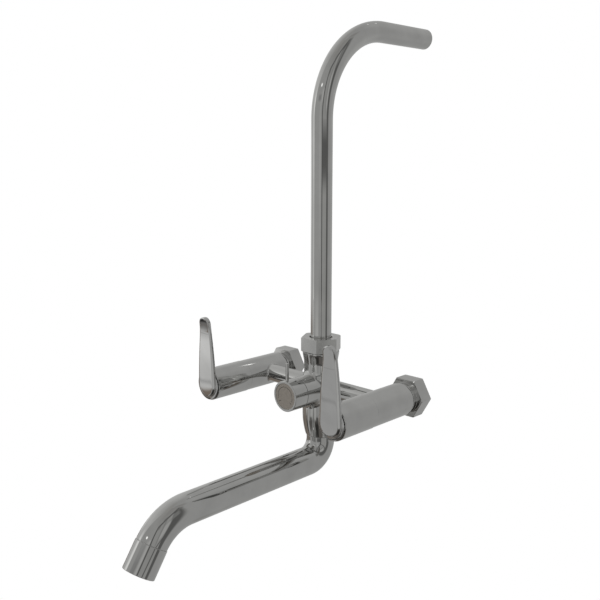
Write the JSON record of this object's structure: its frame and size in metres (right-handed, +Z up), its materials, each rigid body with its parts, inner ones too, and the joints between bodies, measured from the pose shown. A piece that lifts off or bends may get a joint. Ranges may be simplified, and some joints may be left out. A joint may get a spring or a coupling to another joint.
{
  "type": "wall-mounted mixer tap",
  "caption": "Exposed wall mixer tap with lever valves, a rotary diverter, a swivelling bent spout below and a bent riser pipe above.",
  "frame": {"origin": "midway between the two inlet axes, on the rear plane of the union nuts", "axes": "+Z up along the riser, +Y towards the wall along the inlets, +X to the user's right, the spout reaches towards -Y"},
  "size_m": [0.187, 0.3532, 0.4322],
  "materials": {
    "chrome_body": "polished",
    "chrome_sleeve": "polished",
    "chrome_nut": "polished",
    "chrome_lever": "polished",
    "chrome_tube": "polished",
    "chrome_aerator": "polished",
    "chrome_knob": "polished",
    "chrome_tail": "polished",
    "index_plate": "satin",
    "brass_inner": "satin",
    "black_rubber": "matte",
    "ceramic_disc": "satin",
    "white_nylon": "matte",
    "dark_plastic": "matte",
    "steel_mesh": "satin",
    "steel_small": "satin"
  },
  "bodies": {
    "body": {"valve_body_left": "chrome_body", "valve_body_right": "chrome_body", "cross_arm_left": "chrome_body", "cross_arm_right": "chrome_body", "centre_body": "chrome_body", "front_sleeve_left": "chrome_sleeve", "front_sleeve_right": "chrome_sleeve", "union_tail_left": "chrome_tail", "union_tail_right": "chrome_tail", "union_washer_left": "black_rubber", "union_washer_right": "black_rubber", "inlet_strainer_left": "steel_mesh", "inlet_strainer_right": "steel_mesh", "cartridge_body_left": "brass_inner", "cartridge_body_right": "brass_inner", "seat_seal_left": "black_rubber", "seat_seal_right": "black_rubber", "fixed_disc_left": "ceramic_disc", "fixed_disc_right": "ceramic_disc", "riser_pipe": "chrome_tube", "riser_nut": "chrome_nut", "riser_olive": "brass_inner", "diverter_sleeve": "brass_inner", "spout_screw": "steel_small"},
    "handle_left": {"lever_left": "chrome_lever", "lever_bush_left": "white_nylon", "spindle_left": "brass_inner", "spindle_o_ring_left": "black_rubber", "spindle_circlip_left": "steel_small", "moving_disc_left": "ceramic_disc"},
    "wall_nut_left": {"union_nut_left": "chrome_nut"},
    "handle_right": {"lever_right": "chrome_lever", "lever_bush_right": "white_nylon", "spindle_right": "brass_inner", "spindle_o_ring_right": "black_rubber", "spindle_circlip_right": "steel_small", "moving_disc_right": "ceramic_disc"},
    "wall_nut_right": {"union_nut_right": "chrome_nut"},
    "diverter": {"diverter_knob": "chrome_knob", "knob_pin": "chrome_knob", "index_plate": "index_plate", "diverter_screw": "steel_small", "diverter_spindle": "brass_inner", "diverter_o_ring": "black_rubber", "diverter_rotor": "dark_plastic"},
    "spout": {"spout_tube": "chrome_tube", "spout_o_rings": "black_rubber", "aerator_housing": "chrome_aerator", "aerator_insert": "white_nylon", "aerator_washer": "black_rubber"}
  },
  "joints": [
    {"name": "handle_left_turn", "type": "hinge", "parent": "body", "child": "handle_left", "pos_m": [-0.075, 0, 0], "axis": [0, -1, 0], "range_deg": [0, 90]},
    {"name": "handle_right_turn", "type": "hinge", "parent": "body", "child": "handle_right", "pos_m": [0.075, 0, 0], "axis": [0, 1, 0], "range_deg": [0, 90]},
    {"name": "diverter_turn", "type": "hinge", "parent": "body", "child": "diverter", "pos_m": [0, 0, 0], "axis": [0, 1, 0], "range_deg": [-90, 90]},
    {"name": "spout_swivel", "type": "hinge", "parent": "body", "child": "spout", "pos_m": [0, -0.038, 0], "axis": [0, 0, 1], "range_deg": [-75, 75]},
    {"name": "wall_nut_left_spin", "type": "hinge", "parent": "body", "child": "wall_nut_left", "pos_m": [-0.075, 0, 0], "axis": [0, 1, 0], "continuous": true},
    {"name": "wall_nut_right_spin", "type": "hinge", "parent": "body", "child": "wall_nut_right", "pos_m": [0.075, 0, 0], "axis": [0, 1, 0], "continuous": true}
  ]
}
